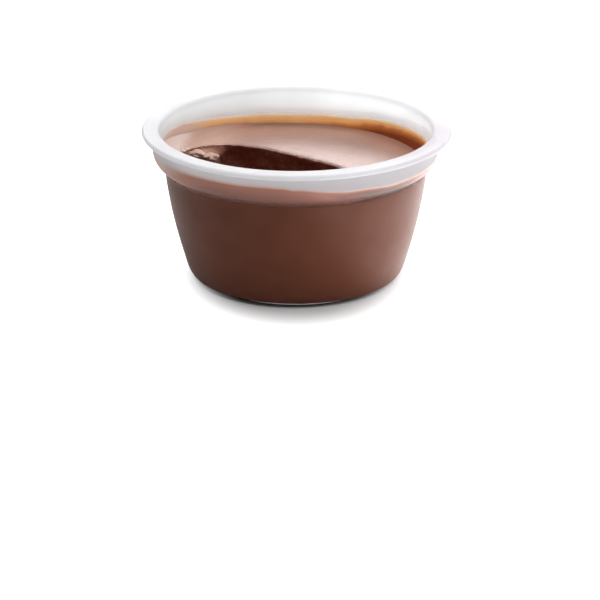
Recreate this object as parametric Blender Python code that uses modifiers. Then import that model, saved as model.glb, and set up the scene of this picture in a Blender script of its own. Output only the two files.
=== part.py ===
"""A single-serving chocolate mousse in its small translucent pot, with a spoonful already taken.

Units are metres and +Z is up. The origin is the middle of the foot, at table height, and the
spoonful was taken from the front left. The pot and the mousse are both turned about Z.
"""

import math

import bmesh
import bpy
from mathutils import Matrix, Vector

MM = 0.001

# The pot, by its outer side
POT_HEIGHT = 37.5 * MM
FLANGE_RADIUS = 38.0 * MM
FLANGE_LIP_HEIGHT = 1.3 * MM
FLANGE_THICKNESS = 0.8 * MM
FLANGE_LIP_THICKNESS = 0.9 * MM
COLLAR_RADIUS = 35.1 * MM
COLLAR_STRAIGHT_TO = 32.5 * MM  # height where the collar starts to curve in to its ledge
LEDGE_RADIUS = 32.5 * MM
LEDGE_HEIGHT = 28.9 * MM
BODY_FOOT_RADIUS = 28.2 * MM  # where the tapered wall runs into the base corner
BODY_FOOT_HEIGHT = 6.55 * MM
BODY_BOW = 0.56 * MM  # how far the wall bulges out of a straight cone
CORNER_PULL_WALL = 4.1 * MM  # how far the base corner goes on along the wall's own line
CORNER_PULL_FLOOR = 3.1 * MM  # and along the table
FOOT_RADIUS = 23.6 * MM
FOOT_RING_WIDTH = 2.2 * MM
BASE_RECESS = 0.5 * MM

# The pot, by its inner side
WALL = 0.6 * MM
MOUTH_RADIUS = 33.3 * MM
MOUTH_ROUNDING = 0.8 * MM

# The mousse
FIT_GAP = 0.3 * MM
FILL_HEIGHT = 28.4 * MM
MENISCUS_RISE = 0.5 * MM
MENISCUS_WIDTH = 2.2 * MM

# The hollow that the spoon left
SCOOP_LENGTH = 50.0 * MM
SCOOP_WIDTH = 29.0 * MM
SCOOP_DEPTH = 19.0 * MM
SCOOP_CENTRE = (-7.5 * MM, -8.7 * MM)
SCOOP_TURN = math.radians(-38.0)
SCOOP_PLAN_SQUARENESS = 2.9  # 2 is an ellipse, and more has squarer corners
SCOOP_WALL_STEEPNESS = 2.6
SCOOP_CLEARANCE_ABOVE = 4.0 * MM

TURNED_STEPS = 72
CURVE_STEPS = 5
SHORTEST_STEP = 0.2 * MM  # two levels of a section closer than this are made one


def clear_scene():
    for thing in list(bpy.data.objects):
        bpy.data.objects.remove(thing, do_unlink=True)


def collection(name):
    group = bpy.data.collections.new(name)
    bpy.context.scene.collection.children.link(group)
    return group


def material(name, colour, roughness, alpha=1.0):
    made = bpy.data.materials.new(name)
    made.use_nodes = True
    shader = made.node_tree.nodes["Principled BSDF"]
    shader.inputs["Base Color"].default_value = (*colour, 1.0)
    shader.inputs["Roughness"].default_value = roughness
    shader.inputs["Metallic"].default_value = 0.0
    shader.inputs["Alpha"].default_value = alpha
    return made


def arc(centre, radii, start, end, steps=CURVE_STEPS):
    """Points on a quarter or other stretch of an ellipse, both ends included, in (radius, height)."""
    points = []
    for i in range(steps + 1):
        angle = math.radians(start + (end - start) * i / steps)
        reach = Vector((radii[0] * math.cos(angle), radii[1] * math.sin(angle)))
        points.append(Vector(centre) + reach)
    return points


def bezier(start, start_handle, end_handle, end, steps=CURVE_STEPS):
    points = []
    for i in range(steps + 1):
        t = i / steps
        u = 1 - t
        points.append(
            u**3 * start + 3 * u**2 * t * start_handle + 3 * u * t**2 * end_handle + t**3 * end
        )
    return points


def body_wall():
    """The outer wall from the ledge down to the base corner: a cone with a slight outward bow."""
    top = Vector((LEDGE_RADIUS, LEDGE_HEIGHT))
    foot = Vector((BODY_FOOT_RADIUS, BODY_FOOT_HEIGHT))
    points = []
    for i in range(CURVE_STEPS + 1):
        t = i / CURVE_STEPS
        bow = Vector((BODY_BOW * 4 * t * (1 - t), 0))
        points.append(top.lerp(foot, t) + bow)
    return points


def base_corner():
    """The smooth corner that runs from the wall to the flat foot."""
    wall = body_wall()
    along_wall = (wall[-1] - wall[-2]).normalized()
    foot = Vector((FOOT_RADIUS, 0))
    wall_handle = wall[-1] + along_wall * CORNER_PULL_WALL
    floor_handle = foot + Vector((CORNER_PULL_FLOOR, 0))
    return bezier(wall[-1], wall_handle, floor_handle, foot)


def base_panel():
    """The foot ring and the slightly raised panel inside it, in to the middle."""
    ring = FOOT_RADIUS - FOOT_RING_WIDTH
    return [
        Vector((ring, 0)),
        Vector((ring - BASE_RECESS, BASE_RECESS)),
        Vector((0, BASE_RECESS)),
    ]


def offset_inwards(points, distance):
    """The same line moved towards the inside of the pot, square to itself; its ends stay level."""
    moved = []
    for i, here in enumerate(points):
        before = points[max(i - 1, 0)]
        after = points[min(i + 1, len(points) - 1)]
        along = (after - before).normalized()
        moved.append(here + Vector((along.y, -along.x)) * distance)
    return moved


def inner_line(distance):
    """The inside of the pot below the ledge, `distance` in from its outer side, from top to middle."""
    line = offset_inwards(body_wall()[:-1] + base_corner(), distance)
    floor_height = BASE_RECESS + distance
    line = [p for p in line if p.y > floor_height + SHORTEST_STEP]
    floor_radius = FOOT_RADIUS - FOOT_RING_WIDTH - BASE_RECESS
    return line + [Vector((floor_radius, floor_height)), Vector((0, floor_height))]


def flange_section():
    """From the mouth's rounded edge, over the flange and its turned-down lip, back to the collar."""
    lip_round = FLANGE_LIP_HEIGHT / 2
    mouth = arc(
        (MOUTH_RADIUS + MOUTH_ROUNDING, POT_HEIGHT - MOUTH_ROUNDING),
        (MOUTH_ROUNDING, MOUTH_ROUNDING), 180, 90,
    )
    lip = arc(
        (FLANGE_RADIUS - lip_round, POT_HEIGHT - lip_round), (lip_round, lip_round), 90, -60
    )
    underside = POT_HEIGHT - FLANGE_THICKNESS
    lip_inside = FLANGE_RADIUS - FLANGE_LIP_THICKNESS
    return mouth + lip + [Vector((lip_inside, underside)), Vector((COLLAR_RADIUS, underside))]


def collar_section():
    """The collar's outer side, down and in to the ledge."""
    rounding = arc(
        (LEDGE_RADIUS, COLLAR_STRAIGHT_TO),
        (COLLAR_RADIUS - LEDGE_RADIUS, COLLAR_STRAIGHT_TO - LEDGE_HEIGHT), 0, -90,
    )
    return rounding[:-1]


def pot_section():
    """The whole wall of the pot, from the middle of the floor round to the middle of the underside."""
    inside = list(reversed(inner_line(WALL)))
    outside = collar_section() + body_wall()[:-1] + base_corner() + base_panel()
    return inside + flange_section() + outside


def mousse_section():
    """The filling as poured: nearly flat on top, with its edge drawn up the wall."""
    wall = inner_line(WALL + FIT_GAP)
    edge_radius = wall[0].x + (FILL_HEIGHT + MENISCUS_RISE - wall[0].y) * (
        (wall[0].x - wall[1].x) / (wall[0].y - wall[1].y)
    )
    top = [
        Vector((0, FILL_HEIGHT)),
        Vector((edge_radius - MENISCUS_WIDTH, FILL_HEIGHT)),
        Vector((edge_radius - 0.4 * MENISCUS_WIDTH, FILL_HEIGHT + 0.2 * MENISCUS_RISE)),
        Vector((edge_radius, FILL_HEIGHT + MENISCUS_RISE)),
    ]
    below = [p for p in wall if p.y < FILL_HEIGHT]
    return top + below


def turned(name, section, group, finish):
    """One solid, turned about Z from a section that runs down its outer side."""
    mesh = bpy.data.meshes.new(name)
    mesh.from_pydata(
        [(p.x, 0, p.y) for p in section], [(i, i + 1) for i in range(len(section) - 1)], []
    )
    solid = bpy.data.objects.new(name, mesh)
    group.objects.link(solid)
    solid.data.materials.append(finish)
    screw = solid.modifiers.new("turn", "SCREW")
    screw.axis = "Z"
    screw.angle = math.tau
    screw.steps = screw.render_steps = TURNED_STEPS
    screw.use_merge_vertices = True
    screw.merge_threshold = 0.00001
    screw.use_smooth_shade = True
    return solid


def scoop_outline(angle):
    """How far the hollow's outline stands out from a plain ellipse, at an angle around it."""
    power = SCOOP_PLAN_SQUARENESS
    return (abs(math.cos(angle)) ** power + abs(math.sin(angle)) ** power) ** (-1 / power)


def scoop_cutter(group):
    """The spoon's hollow: a round-cornered oval in plan, with steep walls and a round bottom."""
    shape = bmesh.new()
    bmesh.ops.create_uvsphere(shape, u_segments=32, v_segments=18, radius=1.0)
    for vert in shape.verts:
        angle = math.atan2(vert.co.y, vert.co.x)
        at_pole = math.hypot(vert.co.x, vert.co.y) < 0.0001
        reach = 0 if at_pole else scoop_outline(angle)
        if vert.co.z < 0:
            depth = -vert.co.z
            reach *= (1 - min(depth, 1) ** SCOOP_WALL_STEEPNESS) ** (1 / SCOOP_WALL_STEEPNESS)
            height = FILL_HEIGHT - depth * SCOOP_DEPTH
        else:
            height = FILL_HEIGHT + vert.co.z * SCOOP_CLEARANCE_ABOVE
        across = 0.5 * SCOOP_LENGTH * reach * math.cos(angle)
        deep = 0.5 * SCOOP_WIDTH * reach * math.sin(angle)
        vert.co = Vector((across, deep, height))
    place = Matrix.Translation((*SCOOP_CENTRE, 0)) @ Matrix.Rotation(SCOOP_TURN, 4, "Z")
    bmesh.ops.transform(shape, matrix=place, verts=shape.verts)
    mesh = bpy.data.meshes.new("scoop_cutter")
    shape.to_mesh(mesh)
    shape.free()
    cutter = bpy.data.objects.new("scoop_cutter", mesh)
    group.objects.link(cutter)
    cutter.hide_render = True
    cutter.display_type = "WIRE"
    return cutter


def main():
    clear_scene()
    parts = collection("chocolate_mousse")
    cutters = collection("cutters")
    translucent = material("natural_polypropylene", (0.86, 0.87, 0.86), 0.35, 0.6)
    chocolate = material("set_chocolate_mousse", (0.16, 0.075, 0.05), 0.5)

    turned("cup", pot_section(), parts, translucent)
    mousse = turned("mousse", mousse_section(), parts, chocolate)
    cut = mousse.modifiers.new("spoonful_taken", "BOOLEAN")
    cut.operation = "DIFFERENCE"
    cut.solver = "EXACT"
    cut.object = scoop_cutter(cutters)


main()
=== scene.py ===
"""Finished looks for a chocolate mousse in its small translucent pot, with a spoonful taken.

The file is laid out as an add-on: sizes and colours are properties, every piece has an operator,
and a sidebar panel lists them. Lengths are metres, +Z is up and the foot stands at the origin.
"""

import math

import bmesh
import bpy
from bpy.props import FloatProperty, FloatVectorProperty, IntProperty, PointerProperty
from mathutils import Matrix, Vector, noise


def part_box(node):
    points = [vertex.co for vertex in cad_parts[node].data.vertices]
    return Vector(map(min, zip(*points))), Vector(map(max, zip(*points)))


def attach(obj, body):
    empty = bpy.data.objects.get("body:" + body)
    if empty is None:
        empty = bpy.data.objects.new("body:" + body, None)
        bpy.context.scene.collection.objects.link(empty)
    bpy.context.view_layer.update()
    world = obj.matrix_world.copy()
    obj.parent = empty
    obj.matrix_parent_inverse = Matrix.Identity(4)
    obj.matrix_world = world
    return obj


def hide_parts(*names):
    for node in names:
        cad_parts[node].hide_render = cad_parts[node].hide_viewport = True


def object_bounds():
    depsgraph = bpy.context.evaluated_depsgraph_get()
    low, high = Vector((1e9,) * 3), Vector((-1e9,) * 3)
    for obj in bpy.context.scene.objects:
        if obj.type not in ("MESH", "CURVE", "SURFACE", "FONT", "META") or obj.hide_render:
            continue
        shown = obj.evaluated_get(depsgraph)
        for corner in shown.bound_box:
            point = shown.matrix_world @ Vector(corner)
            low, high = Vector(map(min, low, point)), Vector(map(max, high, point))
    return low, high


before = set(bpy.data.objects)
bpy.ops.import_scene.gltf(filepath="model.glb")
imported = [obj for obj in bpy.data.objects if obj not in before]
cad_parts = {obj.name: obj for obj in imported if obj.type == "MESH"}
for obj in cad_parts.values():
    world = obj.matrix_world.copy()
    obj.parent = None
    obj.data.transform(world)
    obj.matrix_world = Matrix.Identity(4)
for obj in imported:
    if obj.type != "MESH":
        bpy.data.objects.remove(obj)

bl_info = {
    "name": "Chocolate Mousse Pot",
    "version": (1, 0, 0),
    "blender": (4, 5, 0),
    "location": "View3D > Sidebar > Mousse Pot",
    "description": "Builds a scooped chocolate mousse in a small translucent pot, with its studio",
    "category": "Add Mesh",
}

MM = 0.001
BODY = "root"
CAD_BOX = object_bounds()
CUP_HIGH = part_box("cup")[1]


# ---------------------------------------------------------------- sizes and colours


def length(name, description, default):
    return FloatProperty(
        name=name, description=description, default=default, precision=5, unit="LENGTH"
    )


def power(name, description, default):
    return FloatProperty(name=name, description=description, default=default, min=0.0, max=8.0)


def turn(name, description, degrees):
    return FloatProperty(
        name=name, description=description, default=math.radians(degrees), subtype="ANGLE"
    )


def brightness(name, description, default):
    return FloatProperty(name=name, description=description, default=default, min=0.0)


def round_values(name, description, millimetres):
    """Lengths at even steps round the pot, from +X through +Y."""
    return FloatVectorProperty(
        name=name, description=description, size=len(millimetres), unit="LENGTH", precision=5,
        default=[value * MM for value in millimetres],
    )


def colour(name, description, default):
    return FloatVectorProperty(
        name=name, description=description, default=default, subtype="COLOR",
        size=3, min=0.0, max=1.0,
    )


class PotSizes(bpy.types.PropertyGroup):
    """The moulded pot, by its outer side and its mouth."""

    height: length("Height", "Table to the top of the flange", CUP_HIGH.z)
    flange_radius: length("Flange radius", "Middle to the flange's outer edge", CUP_HIGH.x)
    lip_height: length("Lip height", "Depth of the flange's turned-down edge", 1.3 * MM)
    lip_thickness: length("Lip thickness", "Width of the turned-down edge", 0.9 * MM)
    flange_thickness: length("Flange thickness", "Thickness of the flat flange", 0.8 * MM)
    collar_radius: length("Collar radius", "Outer radius under the flange", 35.1 * MM)
    collar_straight_to: length("Collar straight to", "Where the collar curves in", 32.5 * MM)
    ledge_radius: length("Ledge radius", "Where the collar meets the body", 32.5 * MM)
    ledge_height: length("Ledge height", "Height of that meeting line", 28.9 * MM)
    body_foot_radius: length("Body foot radius", "Where the wall meets the corner", 28.2 * MM)
    body_foot_height: length("Body foot height", "Height of that meeting line", 6.55 * MM)
    body_bow: length("Body bow", "How far the wall bulges out of a cone", 0.56 * MM)
    corner_pull_wall: length("Corner pull, wall", "Curve handle along the wall", 4.1 * MM)
    corner_pull_floor: length("Corner pull, floor", "Curve handle along the table", 3.1 * MM)
    foot_radius: length("Foot radius", "Outer radius of the foot ring", 23.6 * MM)
    foot_ring_width: length("Foot ring width", "Width of the foot ring", 2.2 * MM)
    base_recess: length("Base recess", "How far the base panel is raised", 0.5 * MM)
    gate_radius: length("Gate mark radius", "Moulding mark under the base", 1.3 * MM)
    wall: length("Wall", "Thickness of the body wall", 0.6 * MM)
    mouth_radius: length("Mouth radius", "Inner radius at the top", 33.3 * MM)
    mouth_rounding: length("Mouth rounding", "Rounding of the inner edge", 0.8 * MM)
    narrow_side: length("Narrow side", "How much narrower the flange is on the left", 0.35 * MM)
    rim_warp: length("Rim warp", "How far the flange dips at its lowest", 0.25 * MM)
    segments: IntProperty(name="Segments", description="Steps round the pot", default=288)


class MousseSizes(bpy.types.PropertyGroup):
    """The set mousse and the hollow that the spoon left."""

    fill_height: length("Fill height", "Table to the skin", 28.3 * MM)
    wall_overlap: length("Wall overlap", "How far it reaches into the pot's wall", 0.45 * MM)
    set_tilt: turn("Set tilt", "How far its level drops to the right", 0.8)
    climbs: round_values(
        "Climbs", "How far its edge climbs the wall at each eighth of the way round",
        (0.2, 0.1, 0.1, 2.2, 5.0, 2.6, 0.5, 0.2),
    )
    scoop_length: length("Hollow length", "Along the spoon's stroke", 51.0 * MM)
    scoop_width: length("Hollow width", "Across the stroke", 30.0 * MM)
    scoop_depth: length("Hollow depth", "Skin to the bottom of the hollow", 19.0 * MM)
    thinnest: length("Thinnest mousse", "Least left at the wall, before relief", 0.7 * MM)
    scoop_across: length("Hollow to the right", "Its middle, along X", -7.5 * MM)
    scoop_back: length("Hollow to the back", "Its middle, along Y", -8.3 * MM)
    scoop_turn: turn("Hollow turn", "Its long way, turned from X", -37.2)
    plan_squareness: power("Plan squareness", "2 is an ellipse, more is squarer", 2.9)
    wall_steepness: power("Wall steepness", "2 is round, more has steeper walls", 2.6)
    raggedness: length("Lip raggedness", "How far the torn lip wanders", 0.35 * MM)
    crumb_height: length("Crumb height", "How far the lip's crumbs stand up", 0.3 * MM)
    tear_across: length("Tear to the right", "Middle of the torn end, along X", -23.5 * MM)
    tear_back: length("Tear to the back", "Middle of the torn end, along Y", 8.0 * MM)
    tear_reach: length("Tear reach", "Radius of the torn end", 9.0 * MM)
    segments: IntProperty(name="Segments", description="Steps round the hollow", default=416)


class SmearSizes(bpy.types.PropertyGroup):
    """The thin film of mousse left on the collar's inner wall."""

    heights: round_values(
        "Heights", "Top of the film at each sixteenth of the way round", (
            32.7, 32.4, 32.0, 31.3, 31.2, 31.6, 32.5, 33.7,
            33.7, 33.2, 33.4, 33.5, 33.3, 31.9, 31.3, 31.3,
        ),
    )
    fades: round_values(
        "Fades", "Drop over which the film grows thick, at each eighth of the way round",
        (2.5, 3.4, 6.4, 5.2, 4.2, 3.0, 2.5, 2.5),
    )
    edge_width: length("Edge width", "Drop over which its thin edge fades in", 1.1 * MM)
    stain_width: length("Stain width", "The same where it shows through the collar", 1.1 * MM)
    step: length("Step", "Small drop in its edge near the middle of the front", 0.35 * MM)
    waviness: length("Waviness", "How far its top edge wanders", 0.22 * MM)
    thickness: length("Thickness", "How much thicker its foot is", 0.30 * MM)
    segments: IntProperty(name="Segments", description="Steps round the film", default=512)


class FinishColours(bpy.types.PropertyGroup):
    """Linear colours of the plastic, the mousse and the film."""

    plastic: colour("Plastic", "Natural polypropylene, where light fills it", (0.925, 0.955, 0.96))
    plastic_grey: colour("Grey plastic", "Painted shade of the flange and collar", (0.56, 0.54, 0.565))
    skin: colour("Skin", "Top of the set mousse", (0.180, 0.070, 0.042))
    skin_pale: colour("Pale skin", "Dry bloom on the skin", (0.29, 0.145, 0.10))
    # Painted sheen: paler skin at the left and on torn mousse, over drier skin
    skin_dry_and_sheen: colour("Dry skin", "Where it dried thin against the wall", (0.32, 0.195, 0.15))
    # Painted shade along the back wall and the lip, over wetter skin
    skin_moist_and_shade: colour("Moist skin", "Along the back wall and the lip", (0.10, 0.034, 0.016))
    cut: colour("Cut", "Moist inside, where the spoon went", (0.062, 0.008, 0.002))
    cut_pale: colour("Pale cut", "Crumbly parts of the cut", (0.18, 0.072, 0.042))
    side: colour("Side", "Mousse pressed against the wall", (0.092, 0.021, 0.0065))
    film_thin: colour("Thin film", "Its edge, tinted by the white wall", (0.98, 0.88, 0.74))
    film_mid: colour("Middle film", "Where it glows orange", (0.96, 0.62, 0.29))
    film_deep: colour("Deep film", "Where the glow turns red-brown", (0.64, 0.235, 0.06))
    film_thick: colour("Thick film", "Its foot, as dark as the mousse", (0.36, 0.085, 0.024))
    # Painted sheen: the film's paler, pinkish tint at the left, over drier film
    film_dry_and_sheen: colour("Dry film", "Where it dried pinkish, at the left", (0.80, 0.60, 0.52))
    stain_edge: colour("Stain edge", "Where the film in the collar begins", (0.56, 0.42, 0.37))
    stain: colour("Stain", "The film seen through the collar", (0.40, 0.175, 0.13))
    stain_deep: colour("Deep stain", "Low down, where the film is thickest", (0.21, 0.098, 0.076))
    # Painted shade: the stain at the right, darker to offset the brighter light there
    stain_painted_shade: colour("Dark stain", "At the right, to offset the light there", (0.125, 0.070, 0.055))
    floor: colour("Floor", "The studio floor under its own glow", (0.56, 0.56, 0.56))


class StudioSettings(bpy.types.PropertyGroup):
    """Camera and soft lights."""

    elevation: turn("Elevation", "Camera above the pot's middle", 19.15)
    tilt_down: turn("Tilt down", "How far below the middle it aims", 2.39)
    turn_right: turn("Turn right", "How far right of the middle it aims", 0.1)
    distance: length("Distance", "Camera to the pot's middle", 0.600)
    lens: FloatProperty(name="Lens", description="Focal length in mm", default=145.7)
    floor_radius: length("Floor radius", "Radius of the floor", 0.9)
    fill: brightness("Fill", "Dim light from all around", 0.22)
    top_light: brightness("Top light", "Softbox overhead", 5.7)
    back_light: brightness("Back light", "Softbox behind", 5.6)
    side_light: brightness("Side light", "Softbox on the right", 3.6)
    low_light: brightness("Low light", "Card on the floor, at the right and back", 1.6)


class MoussePotSettings(bpy.types.PropertyGroup):
    """All the settings of the add-on."""

    pot: PointerProperty(type=PotSizes)
    mousse: PointerProperty(type=MousseSizes)
    smear: PointerProperty(type=SmearSizes)
    colours: PointerProperty(type=FinishColours)
    studio: PointerProperty(type=StudioSettings)


# ---------------------------------------------------------------- curves and shapes

# How finely each stretch of the pot's section is divided
MOUTH_STEPS = 8
LIP_STEPS = 12
FLANGE_ROOT_STEPS = 4
INNER_WALL_STEPS = 12
COLLAR_STEPS = 14
COLLAR_CURVE_STEPS = 18
LEDGE_STEPS = 10
BODY_STEPS = 16
CORNER_STEPS = 14

FLANGE_ROOT_RADIUS = 0.3 * MM
COLLAR_CURVE_END = -72  # degrees round the collar's curve, where the softer ledge takes over
LEDGE_PULL = 0.8  # how far both ends of the ledge's curve are pulled towards its corner
FLOOR_CLEARANCE = 0.1 * MM  # the inner wall's curve stops this far above the inner floor
MERGE_DISTANCE = 0.001 * MM

# The moulding mark under the base, in shares of its radius and of the panel's height
GATE_PROFILE = ((1, 1), (0.8, 0.55), (0.25, 0.5), (0, 0.7))

# Waves round the rim, in which it dips: how many, how high and at which phase
RIM_LEVEL = 0.5
RIM_WAVES = ((1, 0.3, 2.2), (3, 0.2, 0.7))


def smooth_step(low, high, value):
    """0 below low, 1 above high, and an S curve between; low may be the greater."""
    t = min(max((value - low) / (high - low), 0.0), 1.0)
    return t * t * (3 - 2 * t)


def arc(centre, radii, start, end, steps):
    """Points on a stretch of an ellipse, both ends included, in (radius, height)."""
    points = []
    for i in range(steps + 1):
        angle = math.radians(start + (end - start) * i / steps)
        reach = Vector((radii[0] * math.cos(angle), radii[1] * math.sin(angle)))
        points.append(Vector(centre) + reach)
    return points


def bezier(start, start_handle, end_handle, end, steps):
    points = []
    for i in range(steps + 1):
        t = i / steps
        u = 1 - t
        points.append(
            u**3 * start + 3 * u**2 * t * start_handle + 3 * u * t**2 * end_handle + t**3 * end
        )
    return points


def body_wall(pot):
    """The outer wall from the ledge down to the base corner: a cone with a slight outward bow."""
    top = Vector((pot.ledge_radius, pot.ledge_height))
    foot = Vector((pot.body_foot_radius, pot.body_foot_height))
    points = []
    for i in range(BODY_STEPS + 1):
        t = i / BODY_STEPS
        points.append(top.lerp(foot, t) + Vector((pot.body_bow * 4 * t * (1 - t), 0)))
    return points


def base_corner(pot):
    """The smooth corner that runs from the wall to the flat foot."""
    wall = body_wall(pot)
    along_wall = (wall[-1] - wall[-2]).normalized()
    foot = Vector((pot.foot_radius, 0))
    wall_handle = wall[-1] + along_wall * pot.corner_pull_wall
    floor_handle = foot + Vector((pot.corner_pull_floor, 0))
    return bezier(wall[-1], wall_handle, floor_handle, foot, CORNER_STEPS)


def offset_inwards(points, distance):
    """The same line moved towards the inside of the pot, square to itself."""
    moved = []
    for i, here in enumerate(points):
        before = points[max(i - 1, 0)]
        after = points[min(i + 1, len(points) - 1)]
        along = (after - before).normalized()
        moved.append(here + Vector((along.y, -along.x)) * distance)
    return moved


def inner_line(pot, distance):
    """The inside of the pot below the ledge, `distance` in from its outer side, top to middle."""
    line = offset_inwards(body_wall(pot)[:-1] + base_corner(pot), distance)
    floor_height = pot.base_recess + distance
    line = [p for p in line if p.y > floor_height + FLOOR_CLEARANCE]
    floor_radius = pot.foot_radius - pot.foot_ring_width - pot.base_recess
    return line + [Vector((floor_radius, floor_height)), Vector((0, floor_height))]


def flange_line(pot):
    """From the mouth's rounded edge, over the flange and its turned-down lip, to the collar."""
    mouth = pot.mouth_rounding
    lip = pot.lip_height / 2
    root = FLANGE_ROOT_RADIUS
    underside = pot.height - pot.flange_thickness
    over_mouth = arc(
        (pot.mouth_radius + mouth, pot.height - mouth), (mouth, mouth), 180, 90, MOUTH_STEPS
    )
    round_lip = arc(
        (pot.flange_radius - lip, pot.height - lip), (lip, lip), 90, -60, LIP_STEPS
    )
    lip_inside = Vector((pot.flange_radius - pot.lip_thickness, underside))
    into_collar = arc(
        (pot.collar_radius + root, underside - root), (root, root), 90, 180, FLANGE_ROOT_STEPS
    )
    return over_mouth + round_lip + [lip_inside] + into_collar


def straight(start, end, steps):
    """The points between two ends, neither of them included."""
    return [start.lerp(end, i / steps) for i in range(1, steps)]


def collar_line(pot):
    """The collar's outer side, down and in to the ledge, and softly on into the body's wall."""
    drop = pot.collar_straight_to - pot.ledge_height
    curve = arc(
        (pot.ledge_radius, pot.collar_straight_to), (pot.collar_radius - pot.ledge_radius, drop),
        0, COLLAR_CURVE_END, COLLAR_CURVE_STEPS,
    )
    start = curve[-1]
    end = body_wall(pot)[1]
    corner = Vector((pot.ledge_radius, pot.ledge_height))
    start_handle = start.lerp(corner, LEDGE_PULL)
    end_handle = corner.lerp(end, 1 - LEDGE_PULL)
    return curve + bezier(start, start_handle, end_handle, end, LEDGE_STEPS)[1:-1]


def base_line(pot):
    """The foot ring, the raised panel and the small moulding mark in its middle."""
    ring = pot.foot_radius - pot.foot_ring_width
    recess = pot.base_recess
    gate = [Vector((across * pot.gate_radius, up * recess)) for across, up in GATE_PROFILE]
    return [Vector((ring, 0)), Vector((ring - recess, recess))] + gate


def pot_line(pot):
    """The whole section of the pot, from the middle of the floor to the middle of the underside."""
    inside = list(reversed(inner_line(pot, pot.wall)))
    flange = flange_line(pot)
    collar = collar_line(pot)
    inside += straight(inside[-1], flange[0], INNER_WALL_STEPS)
    collar = straight(flange[-1], collar[0], COLLAR_STEPS) + collar
    return inside + flange + collar + body_wall(pot)[1:-1] + base_corner(pot) + base_line(pot)


def cone_radius(pot, height):
    """Radius of the collar's inner wall, one straight cone from the ledge to the mouth."""
    low = inner_line(pot, pot.wall)[0]
    high = Vector((pot.mouth_radius, pot.height - pot.mouth_rounding))
    return low.x + (height - low.y) * (high.x - low.x) / (high.y - low.y)


def finished_piece(name, shape, finishes, slot_name, *replaced):
    """Turn a bmesh into a smooth object with its materials, riding on the one body."""
    mesh = bpy.data.meshes.new(name)
    shape.to_mesh(mesh)
    shape.free()
    mesh.shade_smooth()
    for finish in finishes:
        mesh.materials.append(finish)
    piece = bpy.data.objects.new(name, mesh)
    bpy.context.scene.collection.objects.link(piece)
    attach(piece, BODY)
    if replaced:
        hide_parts(*replaced)


def grow_ring(shape, rim, place):
    """Extrude an open ring of edges once, and put each new vertex where `place` says."""
    grown = bmesh.ops.extrude_edge_only(shape, edges=rim)["geom"]
    for vert in grown:
        if isinstance(vert, bmesh.types.BMVert):
            vert.co = place(vert)
    edges = [e for e in grown if isinstance(e, bmesh.types.BMEdge)]
    return [e for e in edges if e.is_boundary]


def close_at(shape, rim, point):
    """Close an open ring of edges by drawing one more ring together at a point."""
    last = grow_ring(shape, rim, lambda vert: point)
    verts = list({v for edge in last for v in edge.verts})
    bmesh.ops.pointmerge(shape, verts=verts, merge_co=point)


def rim_dip(angle):
    """How much of the rim's warp is felt at an angle round the pot, from 0 to 1."""
    waves = (height * math.sin(count * angle + phase) for count, height, phase in RIM_WAVES)
    return sum(waves, RIM_LEVEL)


def shape_pot(pot, smear):
    """Spin the pot's section, let its rim dip as a thin moulding's does, and mark its looks."""
    shape = bmesh.new()
    verts = [shape.verts.new((p.x, 0, p.y)) for p in pot_line(pot)]
    edges = [shape.edges.new(pair) for pair in zip(verts, verts[1:])]
    bmesh.ops.spin(
        shape, geom=verts + edges, cent=(0, 0, 0), axis=(0, 0, 1), angle=math.tau,
        steps=pot.segments, use_merge=True,
    )
    bmesh.ops.remove_doubles(shape, verts=shape.verts, dist=MERGE_DISTANCE)
    bmesh.ops.recalc_face_normals(shape, faces=shape.faces)
    for vert in shape.verts:
        angle = math.atan2(vert.co.y, vert.co.x)
        up = smooth_step(pot.ledge_height, pot.height, vert.co.z)
        vert.co.z -= pot.rim_warp * rim_dip(angle) * up
        out = smooth_step(pot.collar_radius, pot.flange_radius, vert.co.xy.length)
        vert.co.xy *= 1 - pot.narrow_side * out * max(-math.cos(angle), 0) / pot.flange_radius
    milkiness = shape.verts.layers.float.new("milkiness")
    stain = shape.verts.layers.float.new("stain")
    greyness = shape.verts.layers.float.new("greyness")
    for vert in shape.verts:
        vert[stain] = stain_at(pot, smear, vert.co)
        vert[milkiness] = milkiness_at(pot, vert.co)
        vert[greyness] = greyness_at(pot, vert.co)
    return shape


INNER_WALL_REACH = 0.2 * MM  # points this close to the inner cone belong to the inner wall


def is_inner_wall(pot, place):
    above_fill = place.z > pot.ledge_height
    return above_fill and place.xy.length < cone_radius(pot, place.z) + INNER_WALL_REACH


# The collar's stain. It is painted darker on the right, to offset the brighter light there, and
# fades at both sides. Sides are told by the cosine round the pot: 1 is right and -1 is left.
STAIN_DEEPENS_OVER = 5 * MM
STAIN_DARKENS_RIGHT = (0.05, 0.65)
STAIN_RIGHT_DARKNESS = 2
STAIN_FADES_RIGHT = (0.74, 0.96)
STAIN_LOST_RIGHT = 0.5
STAIN_FADES_LEFT = (0.55, 0.95)
STAIN_LOST_LEFT = 0.55
STAIN_FOOT = (-3.0 * MM, -1.5 * MM)  # it fades in between these, from the ledge
COLLAR_REACH = 0.1 * MM  # points further out than this from the collar belong to the flange


def stain_at(pot, smear, place):
    """How brown the film behind the thick collar makes its outer side look, from 0 to 3; on the right
    it is raised by painted shade.
    """
    if is_inner_wall(pot, place) or place.xy.length > pot.collar_radius + COLLAR_REACH:
        return 0.0
    angle = math.atan2(place.y, place.x)
    right = math.cos(angle)
    drop = smear_top(smear, angle) + 0.5 * smear.stain_width - place.z
    low = smooth_step(0, STAIN_DEEPENS_OVER, drop)
    # On the right the stain is deepened by painted shade, to offset the brighter light there
    deep = max(low, STAIN_RIGHT_DARKNESS * smooth_step(*STAIN_DARKENS_RIGHT, right))
    film = min(max(drop / smear.stain_width, 0), 1) * (1 + deep)
    film *= 1 - STAIN_LOST_RIGHT * smooth_step(*STAIN_FADES_RIGHT, right)
    film *= 1 - STAIN_LOST_LEFT * smooth_step(*STAIN_FADES_LEFT, -right)
    return film * smooth_step(*STAIN_FOOT, place.z - pot.ledge_height)


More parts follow.
